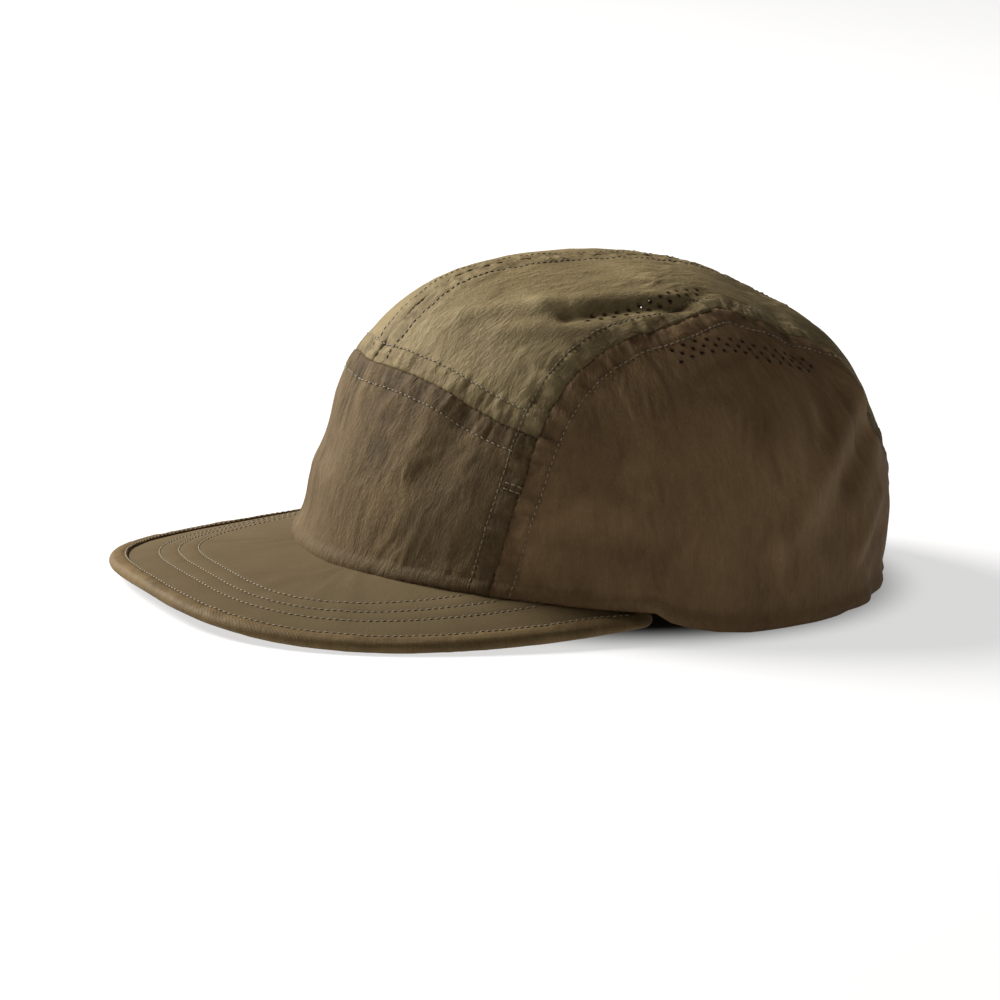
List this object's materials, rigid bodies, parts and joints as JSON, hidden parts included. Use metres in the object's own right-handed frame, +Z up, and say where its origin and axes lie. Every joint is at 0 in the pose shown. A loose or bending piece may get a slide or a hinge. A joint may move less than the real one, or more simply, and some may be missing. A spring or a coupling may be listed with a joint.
{
  "type": "five panel cap",
  "caption": "Soft cloth cap with a low rounded crown, an upright forehead panel, small vent holes over the ears and a short flat peak with a bound edge.",
  "frame": {"origin": "the middle of the cap's box, on the floor that it rests on", "axes": "+Z up through the crown, the peak points to -Y, the wearer's left is +X"},
  "size_m": [0.1782, 0.247, 0.1006],
  "materials": {
    "front_cloth": "crinkled matt nylon, olive brown",
    "top_cloth": "crinkled matt nylon, light olive",
    "side_cloth": "matt nylon, dark olive brown",
    "peak_cloth": "plain matt nylon over a stiff board, with stitch rows",
    "binding_cloth": "bias-cut nylon binding with fine slanting ribs",
    "thread": "matt sewing thread, olive tan"
  },
  "bodies": {
    "root": {"front_panel": "front_cloth", "top_panel_left": "top_cloth", "top_panel_right": "top_cloth", "side_panel_left": "side_cloth", "side_panel_right": "side_cloth", "peak": "peak_cloth", "peak_binding": "binding_cloth"}
  },
  "joints": []
}
